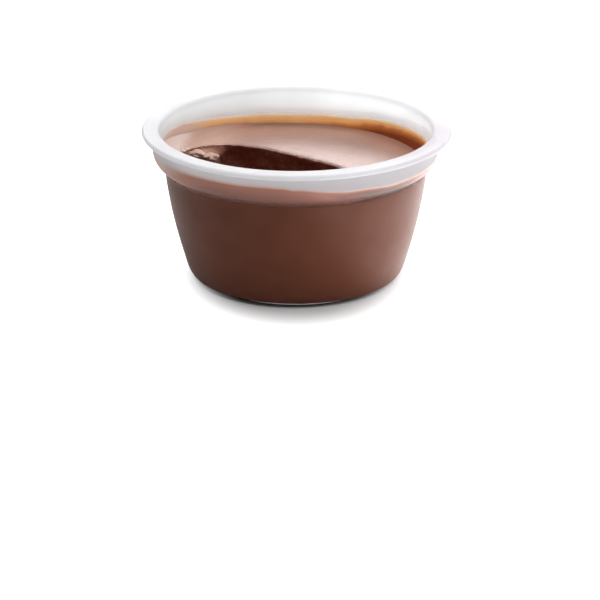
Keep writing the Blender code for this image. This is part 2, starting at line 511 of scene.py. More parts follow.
# The painted shade of each part of the plastic, and how much is added in front and on the right
FLANGE_GREY = 0.48
FLANGE_GREY_FRONT = 0.15
FLANGE_GREY_RIGHT = 0.35
COLLAR_GREY = 0.25
COLLAR_GREY_FRONT = 0.75
INSIDE_GREY_RIGHT = 0.15
GREY_FRONT = (0.6, -0.2)  # from back to front, in mouth radii along Y
GREY_RIGHT = (0.3, 1.0)  # by the cosine round the pot
GREY_MOUTH = (-2.0 * MM, 0)  # the flange's grey runs over the mouth, from the top
GREY_TOP = (-0.8 * MM, -0.5 * MM)  # what is above this, from the top, is the flange's upper side
GREY_UNDER = (-0.9 * MM, 0.4 * MM)  # from the flange's edge in to near the collar


def greyness_at(pot, place):
    """How grey the plastic is painted: hardly inside, partly on the flange, fully in front."""
    radius = place.xy.length
    in_front = smooth_step(*(share * pot.mouth_radius for share in GREY_FRONT), place.y)
    on_right = smooth_step(*GREY_RIGHT, place.x / radius) if radius > 0 else 0
    flange = FLANGE_GREY + FLANGE_GREY_FRONT * in_front + FLANGE_GREY_RIGHT * on_right
    collar = COLLAR_GREY + COLLAR_GREY_FRONT * in_front
    if is_inner_wall(pot, place):
        inside = INSIDE_GREY_RIGHT * on_right
        return inside + (flange - inside) * smooth_step(*GREY_MOUTH, place.z - pot.height)
    outer, inner = pot.flange_radius + GREY_UNDER[0], pot.collar_radius + GREY_UNDER[1]
    under = smooth_step(outer, inner, radius)
    top = smooth_step(*GREY_TOP, place.z - pot.height)
    return flange + (collar - flange) * under * (1 - top)


BODY_MILKINESS = 0.006
COLLAR_MILKINESS = 0.94
BASE_MILKINESS = 0.2
MILKY_FOOT = (0.1 * MM, 0.6 * MM)  # from the table: the base's milkiness ends between these
MILKY_COLLAR = (-1.7 * MM, 0.6 * MM)  # from the ledge: the collar's begins between these


def milkiness_at(pot, place):
    """How solid white the plastic looks, from the thin body to the thick collar and flange."""
    above_foot = smooth_step(*MILKY_FOOT, place.z)
    value = BASE_MILKINESS + (BODY_MILKINESS - BASE_MILKINESS) * above_foot
    in_collar = smooth_step(*MILKY_COLLAR, place.z - pot.ledge_height)
    return value + (COLLAR_MILKINESS - value) * in_collar


# Wander of the hollow's lip: waves round it, their share of the raggedness, and their seed
LIP_WAVES = ((3.1, 1.0, 0.4), (11, 0.6, 2.3), (31, 0.45, 5.1))


def lip_point(mousse, angle):
    """A point of the hollow's lip, in (x, y), on a turned oval with squarer corners."""
    power_now = mousse.plan_squareness
    across_now, deep_now = math.cos(angle), math.sin(angle)
    reach = (abs(across_now) ** power_now + abs(deep_now) ** power_now) ** (-1 / power_now)
    wander = sum(
        weight * noise.noise(Vector((waves * across_now, waves * deep_now, seed)))
        for waves, weight, seed in LIP_WAVES
    )
    ragged = mousse.raggedness * wander
    along = (0.5 * mousse.scoop_length * reach + ragged) * across_now
    across = (0.5 * mousse.scoop_width * reach + ragged) * deep_now
    turned = Matrix.Rotation(mousse.scoop_turn, 2) @ Vector((along, across))
    return scoop_middle(mousse) + turned


def scoop_middle(mousse):
    return Vector((mousse.scoop_across, mousse.scoop_back))


def wall_point(middle, lip, radius):
    """Where the ray from the hollow's middle through a lip point meets a circle about Z."""
    ray = (lip - middle).normalized()
    along = middle.dot(ray)
    return middle + ray * (-along + math.sqrt(along**2 - middle.length_squared + radius**2))


TEAR_CORE = 0.1  # share of the torn end's radius in which it is fully torn


def near_tear(mousse, place):
    """1 in the middle of the torn end of the hollow, and 0 outside it."""
    away = math.hypot(place.x - mousse.tear_across, place.y - mousse.tear_back)
    return smooth_step(mousse.tear_reach, TEAR_CORE * mousse.tear_reach, away)


SMALLEST_PIT = 0.35  # in the greatest one's size
PIT_FLOOR = 0.35  # share of a pit's radius in which it has its full depth
PIT_SEED = 7.3


def pit(place, cell, radius, depth):
    """Depth of a scattered round pit at a place: one pit at most in each cell."""
    distances, points = noise.voronoi(place / cell)
    size = SMALLEST_PIT + (1 - SMALLEST_PIT) * noise.cell(points[0] * PIT_SEED)
    edge = radius * size / cell
    return depth * size * (1 - smooth_step(PIT_FLOOR * edge, edge, distances[0]))


PIT_RADIUS = 0.5 * MM
SKIN_PIT_CELL, SKIN_PIT_DEPTH = 2.6 * MM, 0.12 * MM
CUT_PIT_CELL, CUT_PIT_DEPTH = 2.4 * MM, 0.2 * MM
SWELL_SIZE, SWELL_HEIGHT = 9 * MM, 0.10 * MM
RIPPLE_SIZE, RIPPLE_HEIGHT = 2.1 * MM, 0.035 * MM
RIPPLE_SEED = Vector((5, 1, 2))
CRUMB_SIZES = (0.9 * MM, 0.4 * MM)
FINER_SHARE = 0.5  # a finer layer of noise stands half as high as the one under it
CRUMB_RISE = 0.25  # share of their height by which all the lip's crumbs are raised
CRUMBS_FROM_LIP = (1.5 * MM, 0.2 * MM)  # the lip's crumbs stand up between these


def skin_relief(mousse, place, from_lip):
    """Height of the skin above its smooth level: slow swells, fine ripples, pits, lip crumbs."""
    flat = Vector((place.x, place.y, 0))
    height = SWELL_HEIGHT * noise.noise(flat / SWELL_SIZE)
    height += RIPPLE_HEIGHT * noise.noise(flat / RIPPLE_SIZE + RIPPLE_SEED)
    height -= pit(flat, SKIN_PIT_CELL, PIT_RADIUS, SKIN_PIT_DEPTH)
    coarse, fine = (noise.noise(flat / size) for size in CRUMB_SIZES)
    rough = smooth_step(*CRUMBS_FROM_LIP, from_lip)
    height += mousse.crumb_height * rough * (CRUMB_RISE + (coarse + FINER_SHARE * fine))
    return height


DRAG_LENGTH, DRAG_WIDTH, DRAG_HEIGHT = 9 * MM, 1.3 * MM, 0.10 * MM
CUT_GRAIN_SIZE, CUT_GRAIN_HEIGHT = 0.9 * MM, 0.05 * MM
FLAP_SIZES = (1.5 * MM, 3.4 * MM, 2.2 * MM)  # along the stroke, across it, and up
FLAP_HEIGHT = 0.45 * MM
FLAP_SEED = Vector((1.7, 0.3, 4.4))
FLAP_FINER = 2.3
EDGE_GRAIN_SIZE, EDGE_GRAIN_HEIGHT, EDGE_GRAIN_TO = 0.7 * MM, 0.25 * MM, 1.6 * MM


def cut_relief(mousse, place, depth):
    """Relief of the spoon's cut: drag marks along the stroke, grain, and flaps at the torn end."""
    local = Matrix.Rotation(-mousse.scoop_turn, 3, "Z") @ place
    drag = Vector((local.x / DRAG_LENGTH, local.y / DRAG_WIDTH, local.z / DRAG_WIDTH))
    height = DRAG_HEIGHT * noise.noise(drag)
    height += CUT_GRAIN_HEIGHT * noise.noise(place / CUT_GRAIN_SIZE)
    height -= pit(place, CUT_PIT_CELL, PIT_RADIUS, CUT_PIT_DEPTH)
    tear = near_tear(mousse, place)
    if tear > 0:
        flaps = Vector([at / size for at, size in zip(local, FLAP_SIZES)])
        lumps = noise.noise(flaps + FLAP_SEED) + FINER_SHARE * noise.noise(flaps * FLAP_FINER)
        height += FLAP_HEIGHT * tear * lumps
    near_lip = smooth_step(EDGE_GRAIN_TO, 0, depth)
    height += EDGE_GRAIN_HEIGHT * near_lip * noise.noise(place / EDGE_GRAIN_SIZE)
    return height


def spread(steps, near_end):
    """Shares from 0 to 1 whose steps grow away from the start."""
    return [((i + 1) / steps) ** near_end for i in range(steps)]


def level_at(mousse, flat):
    """Height of the set mousse's smooth level, which drops to the right as it set tilted."""
    return mousse.fill_height - flat.x * math.tan(mousse.set_tilt)


SKIN, CUT, SIDE = range(3)
BOWL_STEPS = 64
BOWL_CROWDING = 1.15  # above 1 crowds the bowl's rings near the lip
SKIN_STEPS = 86
SKIN_CROWDING = 1.25
LIP_ROUNDING = 0.18 * MM
LIP_ROUNDING_WIDTH = 0.8 * MM
TEAR_SLUMP = 8.5 * MM  # how far the torn end slumps in towards the middle
TEAR_SLUMP_ONSET = 1.8 * MM  # depth by which it has slumped in full

# Where the skin is painted paler, as drier skin with painted sheen, and darker, as wetter skin with
# painted shade, between two places along X or Y
DRY_AND_SHEEN_LEFT = (-9 * MM, -24 * MM)
MOIST_AND_SHADE_BACK = (0, 16 * MM)
MOIST_AND_SHADE_FROM_LEFT = (-20 * MM, -2 * MM)
MOIST_AND_SHADE_LESS_RIGHT = (4 * MM, 24 * MM)
MOIST_AND_SHADE_LOST_RIGHT = 0.6
MOIST_AND_SHADE_FROM_WALL = (6.5 * MM, 1 * MM)
MOIST_AND_SHADE_FROM_LIP = (3.5 * MM, 0)
LIP_MOIST_AND_SHADE = 0.7

# The meniscus: its width on level skin, and how that grows and how steeply it climbs the wall
MENISCUS_WIDTH = 1.2 * MM
MENISCUS_GROWTH = 1.4
MENISCUS_STEEPNESS = 2.4

# Lumps at the torn end, in mm from its middle: to the right, to the back, up, width, height,
# and how far each is turned, in degrees
CRUMBS = (
    (-0.5, -1.9, -0.5, 5.2, 2.2, -35),
    (2.4, -1.4, -1.3, 3.8, 1.8, 20),
)
CRUMB_LUMPS = ((1.3, 0.34), (3.4, 0.12), (8.0, 0.06))  # how many and how high, on a ball of 1
CRUMB_PITCH = 0.4  # share of its turn by which each also leans
CRUMB_DEPTH = 0.8  # front to back, in its width
CRUMB_FINENESS = 4


def shape_mousse(pot, mousse):
    """Grow the filling from the hollow's lip: in to the bottom, and out over the skin and down."""
    shape = bmesh.new()
    bmesh.ops.create_circle(shape, segments=mousse.segments, radius=1.0)
    around = shape.verts.layers.float.new("around")
    torn = shape.verts.layers.float.new("torn")
    dry_and_sheen = shape.verts.layers.float.new("dry_and_sheen")
    moist_and_shade = shape.verts.layers.float.new("moist_and_shade")
    middle = scoop_middle(mousse)
    walls = inner_line(pot, pot.wall)
    edge_radius = cone_radius(pot, mousse.fill_height) + mousse.wall_overlap
    lips = {}
    for vert in shape.verts:
        vert[around] = math.atan2(vert.co.y, vert.co.x)
        flat = lip_point(mousse, vert[around])
        lips[vert[around]] = flat
        vert.co = (*flat, level_at(mousse, flat) - LIP_ROUNDING)
    lip = list(shape.edges)

    def keep_inside(flat, height):
        """Draw a point of the hollow in, so that a little mousse is left against the wall."""
        lower = [p for p in walls if p.y < height]
        upper = [p for p in walls if p.y >= height]
        if upper and lower:
            near = (height - lower[0].y) / (upper[-1].y - lower[0].y)
            radius = lower[0].x + near * (upper[-1].x - lower[0].x)
        else:
            radius = cone_radius(pot, height)
        return flat * min((radius - mousse.thinnest) / max(flat.length, MM), 1.0)

    def bowl_place(phase):
        level = math.sin(phase) ** (2 / mousse.wall_steepness)
        reach = math.cos(phase) ** (2 / mousse.wall_steepness)
        drop = level * mousse.scoop_depth
        onset = smooth_step(0, TEAR_SLUMP_ONSET, drop)

        def place(vert):
            start = lips[vert[around]]
            flat = middle + (start - middle) * reach
            slump = near_tear(mousse, start) * onset * reach
            flat += (middle - flat).normalized() * TEAR_SLUMP * slump
            flat = keep_inside(flat, level_at(mousse, flat) - drop)
            vert[torn] = near_tear(mousse, flat)
            spot = Vector((*flat, level_at(mousse, flat) - drop))
            towards_middle = (middle - flat).normalized().to_3d()
            inward = towards_middle * reach + Vector((0, 0, 1)) * (1 - reach)
            return spot + inward.normalized() * cut_relief(mousse, spot, drop)
        return place

    def edge_of(start):
        """Where the skin meets the wall on the ray from the middle, and how far it climbs."""
        end = wall_point(middle, start, edge_radius)
        climb = round_the_pot(mousse.climbs, math.atan2(end.y, end.x))
        height = level_at(mousse, end) + climb
        return wall_point(middle, start, cone_radius(pot, height) + mousse.wall_overlap), climb

    def skin_place(out):
        def place(vert):
            start = lips[vert[around]]
            end, climb = edge_of(start)
            flat = start.lerp(end, out)
            from_lip = (flat - start).length
            from_wall = (end - flat).length
            # Paler at the left: drier skin with painted sheen
            vert[dry_and_sheen] = smooth_step(*DRY_AND_SHEEN_LEFT, flat.x)
            at_back = smooth_step(*MOIST_AND_SHADE_BACK, flat.y) * (1 - vert[dry_and_sheen])
            at_back *= smooth_step(*MOIST_AND_SHADE_FROM_LEFT, flat.x)
            at_back *= 1 - MOIST_AND_SHADE_LOST_RIGHT * smooth_step(*MOIST_AND_SHADE_LESS_RIGHT, flat.x)
            at_lip = smooth_step(*MOIST_AND_SHADE_FROM_LIP, from_lip) * (1 - vert[dry_and_sheen])
            # Darker along the back wall and near the lip: wetter skin with painted shade
            vert[moist_and_shade] = smooth_step(*MOIST_AND_SHADE_FROM_WALL, from_wall) * at_back
            vert[moist_and_shade] += LIP_MOIST_AND_SHADE * at_lip
            meniscus = MENISCUS_WIDTH + MENISCUS_GROWTH * climb
            near_wall = max(1 - from_wall / meniscus, 0) ** MENISCUS_STEEPNESS
            rounding = LIP_ROUNDING * smooth_step(LIP_ROUNDING_WIDTH, 0, from_lip)
            relief = skin_relief(mousse, flat, from_lip) * (1 - near_wall)
            height = level_at(mousse, flat) + climb * near_wall - rounding + relief
            return Vector((*flat, height))
        return place

    def side_place(point):
        def place(vert):
            end = edge_of(lips[vert[around]])[0]
            return Vector((*(end.normalized() * point.x), point.y))
        return place

    done = set()

    def finish_new_faces(finish):
        for face in set(shape.faces) - done:
            face.material_index = finish
            done.add(face)

    rim = lip
    for i in range(1, BOWL_STEPS):
        rim = grow_ring(shape, rim, bowl_place(0.5 * math.pi * (i / BOWL_STEPS) ** BOWL_CROWDING))
    close_at(shape, rim, Vector((*middle, level_at(mousse, middle) - mousse.scoop_depth)))
    finish_new_faces(CUT)

    rim = lip
    for out in spread(SKIN_STEPS, SKIN_CROWDING):
        rim = grow_ring(shape, rim, skin_place(out))
    finish_new_faces(SKIN)

    below = inner_line(pot, pot.wall - mousse.wall_overlap)
    lowest = level_at(mousse, Vector((edge_radius, 0)))
    for point in [p for p in below if p.y < lowest and p.x > 0]:
        rim = grow_ring(shape, rim, side_place(point))
    close_at(shape, rim, Vector((0, 0, below[-1].y)))
    finish_new_faces(SIDE)
    bmesh.ops.recalc_face_normals(shape, faces=shape.faces)
    return shape


def round_the_pot(stops, angle):
    """A value that passes smoothly through evenly spaced stops, from +X through +Y."""
    steps = (angle % math.tau) / math.tau * len(stops)
    index = int(steps) % len(stops)
    following = stops[(index + 1) % len(stops)]
    return stops[index] + (following - stops[index]) * smooth_step(0, 1, steps - int(steps))


EDGE_WAVES = ((4.0, 1), (13.0, 0.25))  # the film's wandering edge: how many and how high
STEP_AT = (-1.66, -1.58)  # radians round the pot between which the edge steps down
STEP_ENDS = (-0.2, -1.2)  # and between which it has come back up


def smear_top(smear, angle):
    """Height of the film's top edge at an angle round the pot."""
    place = Vector((math.cos(angle), math.sin(angle), 0))
    wave = sum(height * noise.noise(place * waves) for waves, height in EDGE_WAVES)
    step = smooth_step(*STEP_AT, angle) * smooth_step(*STEP_ENDS, angle)
    return round_the_pot(smear.heights, angle) + smear.waviness * wave - smear.step * step


FILM_PATCH_HEIGHT = 9 * MM
FILM_PATCHES = 3.0
FILM_UNEVENNESS = 0.08


def film_at(smear, drop, angle):
    """How much mousse the film holds, 0 to 1, a given drop below its top edge."""
    place = Vector((math.cos(angle), math.sin(angle), drop / FILM_PATCH_HEIGHT))
    uneven = 1 + FILM_UNEVENNESS * noise.noise(place * FILM_PATCHES)
    return min(drop / round_the_pot(smear.fades, angle) * uneven, 1.0)


SMEAR_STEPS = 24
SMEAR_CROWDING = 1.5  # above 1 crowds the film's rings near its top edge
SMEAR_FOOT = 1.8 * MM  # how far its foot reaches down into the mousse
SMEAR_INTO_WALL = 0.02 * MM
SMEAR_LEAST = 0.035 * MM  # its thickness at the very edge


def shape_smear(pot, mousse, smear):
    """A closed band on the inner wall: out of the mousse, up to its thin edge, and down again."""
    shape = bmesh.new()
    bmesh.ops.create_circle(shape, segments=smear.segments, radius=1.0)
    film = shape.verts.layers.float.new("film")
    cover = shape.verts.layers.float.new("cover")
    around = shape.verts.layers.float.new("around")
    foot = mousse.fill_height - SMEAR_FOOT
    for vert in shape.verts:
        vert[around] = math.atan2(vert.co.y, vert.co.x)

    def place_at(up, inner):
        def place(vert):
            angle = vert[around]
            edge = smear_top(smear, angle)
            height = foot + (edge - foot) * up
            vert[film] = film_at(smear, edge - height, angle)
            vert[cover] = min((edge - height) / smear.edge_width, 1.0)
            radius = cone_radius(pot, height) + SMEAR_INTO_WALL
            if inner:
                radius -= SMEAR_LEAST + smear.thickness * vert[film]
            return Vector((radius * math.cos(angle), radius * math.sin(angle), height))
        return place

    rises = [1 - (1 - i / SMEAR_STEPS) ** SMEAR_CROWDING for i in range(SMEAR_STEPS + 1)]
    for vert in shape.verts:
        vert.co = place_at(0, False)(vert)
    start = list(shape.edges)
    rim = start
    for up in rises[1:]:
        rim = grow_ring(shape, rim, place_at(up, False))
    for up in reversed(rises):
        rim = grow_ring(shape, rim, place_at(up, True))
    bmesh.ops.bridge_loops(shape, edges=rim + start)
    bmesh.ops.recalc_face_normals(shape, faces=shape.faces)
    return shape


def shape_crumbs(mousse):
    """A few torn lumps that lie half sunk at the ragged end of the hollow."""
    shape = bmesh.new()
    level = level_at(mousse, Vector((mousse.tear_across, 0)))
    for across, back, up, wide, tall, lean in CRUMBS:
        made = bmesh.ops.create_icosphere(shape, subdivisions=CRUMB_FINENESS, radius=1.0)
        seed = Vector((across, back, up))
        for vert in made["verts"]:
            vert.co *= 1 + sum(h * noise.noise(vert.co * n + seed) for n, h in CRUMB_LUMPS)
        place = Matrix.Translation((
            mousse.tear_across + across * MM, mousse.tear_back + back * MM, level + up * MM
        ))
        place @= Matrix.Rotation(math.radians(lean), 4, "Z")
        place @= Matrix.Rotation(math.radians(CRUMB_PITCH * lean), 4, "X")
        place @= Matrix.Diagonal((
            0.5 * wide * MM, 0.5 * CRUMB_DEPTH * wide * MM, 0.5 * tall * MM, 1
        ))
        bmesh.ops.transform(shape, matrix=place, verts=made["verts"])
    bmesh.ops.recalc_face_normals(shape, faces=shape.faces)
    return shape


# ---------------------------------------------------------------- materials


def add_node(tree, kind, inputs=None, **settings):
    """Add a node; an input is joined when it is given a socket, and set when it is a value."""
    node = tree.nodes.new(kind)
    for name, value in settings.items():
        setattr(node, name, value)
    for name, value in (inputs or {}).items():
        if isinstance(value, bpy.types.NodeSocket):
            tree.links.new(value, node.inputs[name])
        else:
            node.inputs[name].default_value = value
    return node


def new_finish(name):
    """An empty material with its node tree and a socket with the piece's own coordinates."""
    finish = bpy.data.materials.new(name)
    finish.use_nodes = True
    tree = finish.node_tree
    tree.nodes.clear()
    place = tree.nodes.new("ShaderNodeTexCoord").outputs["Object"]
    return finish, tree, place


def show(tree, shader):
    add_node(tree, "ShaderNodeOutputMaterial", {"Surface": shader})


def rgba(values):
    return (*values, 1.0)


GRAIN_RANGE = (0.3, 0.7)  # nearly all of a grain's values lie between these
GRAIN_ROUGHNESS = 0.55


def grain(tree, place, size, detail=3.0):
    """Cloudy noise with blotches of about the given size, from 0 to 1."""
    return add_node(
        tree, "ShaderNodeTexNoise",
        {"Vector": place, "Scale": 1 / size, "Detail": detail, "Roughness": GRAIN_ROUGHNESS},
    ).outputs["Fac"]


def painted(tree, name):
    """A value that was given to each point of the piece's own mesh."""
    return add_node(
        tree, "ShaderNodeAttribute", attribute_name=name, attribute_type="GEOMETRY"
    ).outputs["Fac"]


def cells(tree, place, size):
    """Distance to the nearest of the points scattered about `size` apart, in cell widths."""
    return add_node(
        tree, "ShaderNodeTexVoronoi", {"Vector": place, "Scale": 1 / size}
    ).outputs["Distance"]


def ramp(tree, value, low, high, to_low=0.0, to_high=1.0):
    """Stretch a value from one range to another, smoothly and without passing either end."""
    return add_node(
        tree, "ShaderNodeMapRange",
        {"Value": value, "From Min": low, "From Max": high, "To Min": to_low, "To Max": to_high},
        interpolation_type="SMOOTHSTEP",
    ).outputs["Result"]


def varied(tree, cloud, low, high):
    """A value that a grain varies, from `low` in its dark blotches to `high` in its light ones."""
    return ramp(tree, cloud, *GRAIN_RANGE, low, high)


def spots(tree, place, size, inner, outer, amount):
    """Round spots about `size` apart: `amount` in their middle and nothing outside them.

    Their inner and outer radii are in cell widths. The first result is 0 in a spot and 1 outside.
    """
    outside = ramp(tree, cells(tree, place, size), inner, outer)
    return outside, ramp(tree, outside, 0.0, 1.0, amount, 0.0)


def calculate(tree, operation, first, second):
    return add_node(tree, "ShaderNodeMath", {0: first, 1: second}, operation=operation).outputs[0]


def mix_colours(tree, factor, first, second):
    """Blend two colours; each may be a socket or three numbers."""
    first = first if isinstance(first, bpy.types.NodeSocket) else rgba(first)
    second = second if isinstance(second, bpy.types.NodeSocket) else rgba(second)
    return add_node(
        tree, "ShaderNodeMix", {0: factor, 6: first, 7: second}, data_type="RGBA"
    ).outputs[2]


def lay_over(tree, base, *layers):
    """Lay colours over a base, each as far as its value has passed through a range."""
    for value, low, high, over in layers:
        base = mix_colours(tree, ramp(tree, value, low, high), base, over)
    return base


def mix_shaders(tree, factor, first, second):
    return add_node(tree, "ShaderNodeMixShader", {0: factor, 1: first, 2: second}).outputs[0]


def see_through(tree, cover, shader):
    """A shader where it covers, and nothing at all where it doesn't."""
    clear = add_node(tree, "ShaderNodeBsdfTransparent").outputs[0]
    return mix_shaders(tree, cover, clear, shader)


def glowing(tree, tone, normal):
    """A colour that light shines through from behind."""
    return add_node(
        tree, "ShaderNodeBsdfTranslucent", {"Color": tone, "Normal": normal}
    ).outputs[0]


def surface(tree, tone, normal, roughness, ior, extra=None):
    """The main shader of a finish; `extra` holds its further inputs, if it has any."""
    inputs = {"Base Color": tone, "Roughness": roughness, "IOR": ior, "Normal": normal}
    return add_node(tree, "ShaderNodeBsdfPrincipled", {**inputs, **(extra or {})}).outputs[0]


def bump(tree, height, depth, strength, under=None):
    """A bump from a height of 0 to 1, `depth` metres high, over another bump if one is given."""
    inputs = {"Height": height, "Distance": depth, "Strength": strength}
    if under is not None:
        inputs["Normal"] = under
    return add_node(tree, "ShaderNodeBump", inputs).outputs["Normal"]


PLASTIC_UNEVENNESS = 0.97
CLEAN_GLOW = 0.62  # share of its light that comes through the plastic from behind
STAINED_GLOW = 0.2
STAIN_DIMS = (0.0, 0.4)  # stain over which the one turns into the other


def polypropylene_finish(colours):
    """Milky moulded plastic, clear where it is thin and stained where the film shows through, with
    painted shade on the flange, the collar and the stain's right side.
    """
    finish, tree, place = new_finish("natural_polypropylene_look")
    clouds = grain(tree, place, 7 * MM)
    fine = grain(tree, place, 0.5 * MM, detail=2.0)
    stain = painted(tree, "stain")
    darker = [PLASTIC_UNEVENNESS * channel for channel in colours.plastic]
    tone = mix_colours(tree, ramp(tree, clouds, 0.35, 0.65), colours.plastic, darker)
    tone = mix_colours(tree, painted(tree, "greyness"), tone, colours.plastic_grey)
    tone = lay_over(
        tree, tone,
        (stain, 0.0, 0.5, colours.stain_edge),
        (stain, 0.4, 1.0, colours.stain),
        # The deeper shades: thick film low down, and painted shade on the right
        (stain, 1.0, 2.0, colours.stain_deep),
        (stain, 2.0, 3.0, colours.stain_painted_shade),
    )
    normal = bump(tree, fine, depth=0.01 * MM, strength=0.5)
    solid = surface(tree, tone, normal, roughness=varied(tree, clouds, 0.3, 0.4), ior=1.45)
    let_through = ramp(tree, stain, *STAIN_DIMS, CLEAN_GLOW, STAINED_GLOW)
    milky = mix_shaders(tree, let_through, solid, glowing(tree, tone, normal))
    show(tree, see_through(tree, painted(tree, "milkiness"), milky))
    return finish


def skin_finish(colours):
    """The dull-glossy, pitted skin of the set mousse, painted paler at the left, as drier skin with
    painted sheen, and darker along the back wall and the lip, as wetter skin with painted shade.
    """
    finish, tree, place = new_finish("mousse_skin_look")
    swirls = grain(tree, place, 11 * MM)
    fine = grain(tree, place, 0.8 * MM)
    outside_pits, in_pits = spots(
        tree, place, size=1.5 * MM, inner=0.12, outer=0.24, amount=0.15
    )
    moist_and_shade = painted(tree, "moist_and_shade")
    bloom = ramp(tree, swirls, 0.35, 0.7, 0.0, 0.35)
    fine_bloom = ramp(tree, fine, 0.4, 0.75, 0.0, 0.12)
    # Paler at the left: drier skin with painted sheen
    dried = ramp(tree, painted(tree, "dry_and_sheen"), 0.0, 1.0, 0.0, 0.85)
    tone = mix_colours(tree, bloom, colours.skin, colours.skin_pale)
    tone = mix_colours(tree, fine_bloom, tone, colours.skin_pale)
    tone = mix_colours(tree, in_pits, tone, colours.cut)
    tone = mix_colours(tree, dried, tone, colours.skin_dry_and_sheen)
    # Painted shade along the back wall and near the lip, over wetter skin
    tone = lay_over(tree, tone, (moist_and_shade, 0.0, 1.0, colours.skin_moist_and_shade))
    normal = bump(tree, outside_pits, depth=0.03 * MM, strength=0.5)
    normal = bump(tree, fine, depth=0.006 * MM, strength=0.5, under=normal)
    duller = ramp(tree, moist_and_shade, 0.0, 1.0, 0.0, 0.2)
    roughness = calculate(tree, "ADD", varied(tree, fine, 0.3, 0.38), duller)
    sheen = {"Sheen Weight": 0.2, "Sheen Roughness": 0.5}
    show(tree, surface(tree, tone, normal, roughness, ior=1.6, extra=sheen))
    return finish


STROKE_TURN = math.radians(38)
STROKE_STRETCH = (0.2, 1.0, 1.0)  # draws the streaks out to five times their width


def cut_finish(colours):
    """The wet, darker inside of the mousse, streaked by the spoon and paler where it tore, partly as
    painted sheen.
    """
    finish, tree, place = new_finish("mousse_cut_look")
    along_stroke = add_node(
        tree, "ShaderNodeMapping",
        {"Vector": place, "Rotation": (0, 0, STROKE_TURN), "Scale": STROKE_STRETCH},
    ).outputs["Vector"]
    streaks = grain(tree, along_stroke, 2.5 * MM)
    fine = grain(tree, place, 0.6 * MM)
    bubbles = ramp(tree, cells(tree, place, 1.2 * MM), 0.10, 0.2)
    torn = painted(tree, "torn")
    pale_streaks = ramp(tree, streaks, 0.4, 0.75, 0.0, 0.3)
    pale_specks = ramp(tree, fine, 0.55, 0.75, 0.0, 0.35)
    # Paler where it tore: torn mousse with painted sheen
    pale_tears = calculate(tree, "MULTIPLY", torn, ramp(tree, streaks, 0.35, 0.6, 0.2, 0.9))
    dry_and_sheen_tears = ramp(tree, torn, 0.4, 1.0, 0.0, 0.55)
    tone = mix_colours(tree, pale_streaks, colours.cut, colours.cut_pale)
    tone = mix_colours(tree, pale_specks, tone, colours.cut_pale)
    tone = mix_colours(tree, pale_tears, tone, colours.cut_pale)
    tone = mix_colours(tree, dry_and_sheen_tears, tone, colours.skin_dry_and_sheen)
    normal = bump(tree, bubbles, depth=0.12 * MM, strength=0.6)
    normal = bump(tree, fine, depth=0.06 * MM, strength=0.6, under=normal)
    show(tree, surface(tree, tone, normal, roughness=varied(tree, fine, 0.42, 0.6), ior=1.3))
    return finish


def crumb_finish(colours):
    """Freshly torn mousse: paler than the spoon's smooth cut, partly as painted sheen, and rough with
    tiny bubbles.
    """
    finish, tree, place = new_finish("torn_crumb_look")
    fine = grain(tree, place, 0.5 * MM)
    outside_bubbles, in_bubbles = spots(
        tree, place, size=0.8 * MM, inner=0.12, outer=0.25, amount=0.3
    )
    # Paler than the cut: torn mousse with painted sheen
    dried = ramp(tree, fine, 0.25, 0.5, 0.4, 1.0)
    tone = mix_colours(tree, dried, colours.skin_pale, colours.skin_dry_and_sheen)
    tone = mix_colours(tree, in_bubbles, tone, colours.cut)
    normal = bump(tree, outside_bubbles, depth=0.10 * MM, strength=0.6)
    normal = bump(tree, fine, depth=0.06 * MM, strength=0.7, under=normal)
    show(tree, surface(tree, tone, normal, roughness=varied(tree, fine, 0.36, 0.5), ior=1.45))
    return finish


def side_finish(colours):
    """Mousse pressed flat against the plastic, with the wall's soft gloss and a few specks."""
    finish, tree, place = new_finish("mousse_side_look")
    clouds = grain(tree, place, 9 * MM)
    fine = grain(tree, place, 0.7 * MM)
    in_specks = spots(tree, place, size=3.4 * MM, inner=0.05, outer=0.09, amount=0.45)[1]
    tone = mix_colours(tree, varied(tree, clouds, 0.0, 0.06), colours.side, colours.skin_pale)
    tone = mix_colours(tree, in_specks, tone, colours.cut)
    normal = bump(tree, fine, depth=0.005 * MM, strength=0.5)
    show(tree, surface(tree, tone, normal, roughness=varied(tree, fine, 0.4, 0.46), ior=1.25))
    return finish


FILM_GLOW = 0.6  # share of its light that comes through the film from behind
FILM_DRY_AND_SHEEN = (-20 * MM, -28 * MM)  # between these along X, its thicker part turns paler and pinkish, drier film with painted sheen


def film_finish(colours):
    """A chocolate film that glows orange where it is thin and turns brown towards its foot."""
    finish, tree, place = new_finish("mousse_film_look")
    film = painted(tree, "film")
    patches = grain(tree, place, 3.0 * MM)
    fine = grain(tree, place, 0.6 * MM)
    uneven = calculate(tree, "MULTIPLY", film, varied(tree, patches, 0.93, 1.07))
    tone = mix_colours(tree, ramp(tree, uneven, 0.02, 0.32), colours.film_thin, colours.film_mid)
    tone = lay_over(
        tree, tone,
        (uneven, 0.3, 0.66, colours.film_deep),
        (film, 0.58, 1.0, colours.film_thick),
    )
    across = add_node(tree, "ShaderNodeSeparateXYZ", {"Vector": place}).outputs["X"]
    # Paler and pinkish at the left: drier film with painted sheen
    at_left = ramp(tree, across, *FILM_DRY_AND_SHEEN)
    dry_and_sheen = calculate(tree, "MULTIPLY", at_left, ramp(tree, uneven, 0.0, 0.2))
    tone = mix_colours(tree, dry_and_sheen, tone, colours.film_dry_and_sheen)
    normal = bump(tree, fine, depth=0.01 * MM, strength=0.5)
    face = surface(tree, tone, normal, roughness=varied(tree, fine, 0.3, 0.42), ior=1.4)
    body = mix_shaders(tree, FILM_GLOW, face, glowing(tree, tone, normal))
    show(tree, see_through(tree, ramp(tree, painted(tree, "cover"), 0.0, 1.0), body))
    return finish


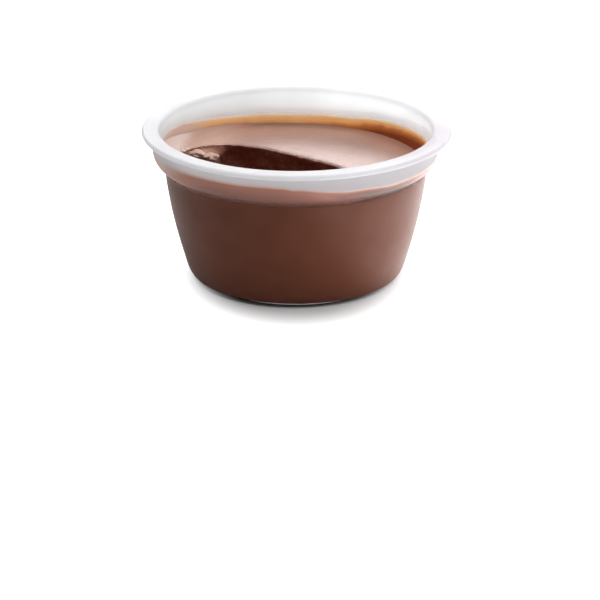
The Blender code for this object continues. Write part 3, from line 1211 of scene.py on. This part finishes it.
FLOOR_STEPS = 96
FLOOR_PATCHES = 60 * MM
FLOOR_UNEVENNESS = 0.99
FLOOR_FADE = (0.5, 0.95)  # shares of its radius between which the floor fades out
FOOT_SQUEEZE = (1, 0.66, 1)  # the unlit patch round the foot is longer from front to back
FOOT_UNLIT = (18.5 * MM, 32 * MM)  # the floor's glow begins between these, from the middle
SEEN_GLOW = 0.85  # what the camera sees
RIGHT_GLOW = 2.3  # what all other rays see, on the right
RIGHT_GLOW_FROM = (10 * MM, 34 * MM)
RIGHT_GLOW_TO = (45 * MM, 85 * MM)
RIGHT_GLOW_LEFT_OVER = 0.2


def floor_finish(colours, radius):
    """Pale floor that fades out towards its edge and glows, except close to the foot.

    The camera sees a strong, even glow, which hides most of the pot's shadow. All other rays see
    none on the left and a stronger one on the right, which lights the pot's right side from below.
    """
    finish, tree, place = new_finish("studio_floor_look")
    away = add_node(tree, "ShaderNodeVectorMath", {0: place}, operation="LENGTH").outputs["Value"]
    unevenness = varied(tree, grain(tree, place, FLOOR_PATCHES), 0.0, 0.3)
    darker = [FLOOR_UNEVENNESS * channel for channel in colours.floor]
    tone = mix_colours(tree, unevenness, colours.floor, darker)
    roughness = ramp(tree, unevenness, 0.0, 0.3, 0.85, 0.95)
    solid = add_node(
        tree, "ShaderNodeBsdfPrincipled", {"Base Color": tone, "Roughness": roughness, "IOR": 1.3}
    ).outputs[0]
    squeezed = add_node(tree, "ShaderNodeMapping", {"Vector": place, "Scale": FOOT_SQUEEZE})
    ring = add_node(
        tree, "ShaderNodeVectorMath", {0: squeezed.outputs["Vector"]}, operation="LENGTH"
    ).outputs["Value"]
    seen = tree.nodes.new("ShaderNodeLightPath").outputs["Is Camera Ray"]
    across = add_node(tree, "ShaderNodeSeparateXYZ", {"Vector": place}).outputs["X"]
    on_right = calculate(
        tree, "MULTIPLY", ramp(tree, across, *RIGHT_GLOW_FROM, 0.0, RIGHT_GLOW),
        ramp(tree, across, *RIGHT_GLOW_TO, 1.0, RIGHT_GLOW_LEFT_OVER),
    )
    strength = add_node(
        tree, "ShaderNodeMapRange", {"Value": seen, "To Min": on_right, "To Max": SEEN_GLOW}
    ).outputs["Result"]
    glow = calculate(tree, "MULTIPLY", strength, ramp(tree, ring, *FOOT_UNLIT))
    lit = add_node(tree, "ShaderNodeEmission", {"Color": rgba((1, 1, 1)), "Strength": glow})
    solid = add_node(tree, "ShaderNodeAddShader", {0: solid, 1: lit.outputs[0]}).outputs[0]
    clear = add_node(tree, "ShaderNodeBsdfTransparent").outputs[0]
    fade = ramp(tree, away, *(share * radius for share in FLOOR_FADE))
    show(tree, mix_shaders(tree, fade, solid, clear))
    return finish


# ---------------------------------------------------------------- stage

BACKDROP_WHITE = 1.05
SENSOR_WIDTH = 36  # in mm, as the lens is
CLIP_START = 0.01

# Each softbox: its place, what it faces (None for the pot's middle), and its size
SOFTBOXES = {
    "top": ((-0.08, -0.12, 1.1), None, (1.8, 0.75)),
    "back": ((0.3, 1.0, 0.45), None, (1.7, 0.42)),
    "side": ((0.42, 0.06, 0.16), None, (0.4, 0.22)),
    "low": ((0.26, 0.18, 0.003), (0.26, 0.18, 1), (0.42, 0.5)),
}


def aim(thing, place, target):
    """Put a lamp or camera at a place and turn it to face a target."""
    thing.location = place
    thing.rotation_euler = (Vector(target) - Vector(place)).to_track_quat("-Z", "Y").to_euler()


def add_softbox(name, place, target, size, strength):
    """A rectangular soft light that looks equally bright whatever its size."""
    lamp = bpy.data.lights.new(name, "AREA")
    lamp.shape = "RECTANGLE"
    lamp.size, lamp.size_y = size
    lamp.energy = strength * math.pi * size[0] * size[1]
    softbox = bpy.data.objects.new(name, lamp)
    bpy.context.scene.collection.objects.link(softbox)
    aim(softbox, place, target)
    softbox.visible_camera = False


def add_camera(studio):
    """A camera in front of the pot, above it, that aims a little under its middle."""
    low, high = CAD_BOX
    target = (Vector(low) + Vector(high)) / 2
    across = math.cos(studio.elevation) * studio.distance
    place = target + Vector((0, -across, math.sin(studio.elevation) * studio.distance))
    tilt = studio.elevation + studio.tilt_down
    forward = Vector((
        math.sin(studio.turn_right) * math.cos(tilt),
        math.cos(studio.turn_right) * math.cos(tilt),
        -math.sin(tilt),
    ))
    lens = bpy.data.cameras.new("camera")
    lens.lens = studio.lens
    lens.sensor_width = SENSOR_WIDTH
    lens.clip_start = CLIP_START
    camera = bpy.data.objects.new("camera", lens)
    bpy.context.scene.collection.objects.link(camera)
    aim(camera, place, place + forward)
    bpy.context.scene.camera = camera


def set_world(fill):
    """A white backdrop to look at, which lights the scene only dimly."""
    world = bpy.data.worlds.new("studio")
    bpy.context.scene.world = world
    world.use_nodes = True
    tree = world.node_tree
    tree.nodes.clear()
    seen = tree.nodes.new("ShaderNodeLightPath").outputs["Is Camera Ray"]
    strength = add_node(
        tree, "ShaderNodeMapRange", {"Value": seen, "To Min": fill, "To Max": BACKDROP_WHITE}
    ).outputs["Result"]
    light = add_node(
        tree, "ShaderNodeBackground", {"Color": (1, 1, 1, 1), "Strength": strength}
    ).outputs[0]
    add_node(tree, "ShaderNodeOutputWorld", {"Surface": light})


# ---------------------------------------------------------------- operators


class MOUSSE_POT_OT_pot(bpy.types.Operator):
    """Mould the translucent pot with its flange, collar, ledge and foot"""

    bl_idname = "mousse_pot.pot"
    bl_label = "Add Pot"

    def execute(self, context):
        settings = context.scene.mousse_pot
        shape = shape_pot(settings.pot, settings.smear)
        finish = polypropylene_finish(settings.colours)
        finished_piece("pot_shell", shape, [finish], "natural_polypropylene", "cup")
        return {"FINISHED"}


class MOUSSE_POT_OT_mousse(bpy.types.Operator):
    """Fill the pot with set mousse and take the spoonful out"""

    bl_idname = "mousse_pot.mousse"
    bl_label = "Add Mousse"

    def execute(self, context):
        settings = context.scene.mousse_pot
        shape = shape_mousse(settings.pot, settings.mousse)
        colours = settings.colours
        finishes = [skin_finish(colours), cut_finish(colours), side_finish(colours)]
        finished_piece("mousse_filling", shape, finishes, "set_chocolate_mousse", "mousse")
        return {"FINISHED"}


class MOUSSE_POT_OT_crumbs(bpy.types.Operator):
    """Leave torn lumps at the ragged end of the hollow"""

    bl_idname = "mousse_pot.crumbs"
    bl_label = "Add Crumbs"

    def execute(self, context):
        settings = context.scene.mousse_pot
        shape = shape_crumbs(settings.mousse)
        finish = crumb_finish(settings.colours)
        finished_piece("torn_crumbs", shape, [finish], "set_chocolate_mousse")
        return {"FINISHED"}


class MOUSSE_POT_OT_smear(bpy.types.Operator):
    """Leave the thin film of mousse on the collar's inner wall"""

    bl_idname = "mousse_pot.smear"
    bl_label = "Add Smear"

    def execute(self, context):
        settings = context.scene.mousse_pot
        shape = shape_smear(settings.pot, settings.mousse, settings.smear)
        finish = film_finish(settings.colours)
        finished_piece("mousse_smear", shape, [finish], "set_chocolate_mousse")
        return {"FINISHED"}


class MOUSSE_POT_OT_studio(bpy.types.Operator):
    """Set the white floor, the soft lights and the camera"""

    bl_idname = "mousse_pot.studio"
    bl_label = "Set Studio"

    def execute(self, context):
        settings = context.scene.mousse_pot
        studio = settings.studio
        shape = bmesh.new()
        bmesh.ops.create_circle(
            shape, cap_ends=True, segments=FLOOR_STEPS, radius=studio.floor_radius
        )
        bmesh.ops.recalc_face_normals(shape, faces=shape.faces)
        mesh = bpy.data.meshes.new("floor")
        shape.to_mesh(mesh)
        shape.free()
        mesh.materials.append(floor_finish(settings.colours, studio.floor_radius))
        floor = bpy.data.objects.new("floor", mesh)
        context.scene.collection.objects.link(floor)
        middle = (0, 0, 0.5 * CUP_HIGH.z)
        strengths = (studio.top_light, studio.back_light, studio.side_light, studio.low_light)
        for strength, (name, (place, target, size)) in zip(strengths, SOFTBOXES.items()):
            add_softbox(f"{name}_softbox", place, target or middle, size, strength)
        set_world(studio.fill)
        context.scene.view_settings.view_transform = "Standard"
        add_camera(studio)
        return {"FINISHED"}


class MOUSSE_POT_PT_sidebar(bpy.types.Panel):
    """Lists the operators in the order in which they build the pot"""

    bl_label = "Mousse Pot"
    bl_idname = "MOUSSE_POT_PT_sidebar"
    bl_space_type = "VIEW_3D"
    bl_region_type = "UI"
    bl_category = "Mousse Pot"

    def draw(self, context):
        for step in STEPS:
            self.layout.operator(step.bl_idname)


STEPS = (
    MOUSSE_POT_OT_pot,
    MOUSSE_POT_OT_mousse,
    MOUSSE_POT_OT_crumbs,
    MOUSSE_POT_OT_smear,
    MOUSSE_POT_OT_studio,
)
GROUPS = (PotSizes, MousseSizes, SmearSizes, FinishColours, StudioSettings, MoussePotSettings)
CLASSES = (*GROUPS, *STEPS, MOUSSE_POT_PT_sidebar)


def register():
    for cls in CLASSES:
        bpy.utils.register_class(cls)
    bpy.types.Scene.mousse_pot = PointerProperty(type=MoussePotSettings)


def unregister():
    del bpy.types.Scene.mousse_pot
    for cls in reversed(CLASSES):
        bpy.utils.unregister_class(cls)


def main():
    register()
    bpy.ops.mousse_pot.pot()
    bpy.ops.mousse_pot.mousse()
    bpy.ops.mousse_pot.crumbs()
    bpy.ops.mousse_pot.smear()
    bpy.ops.mousse_pot.studio()


if __name__ == "__main__":
    main()
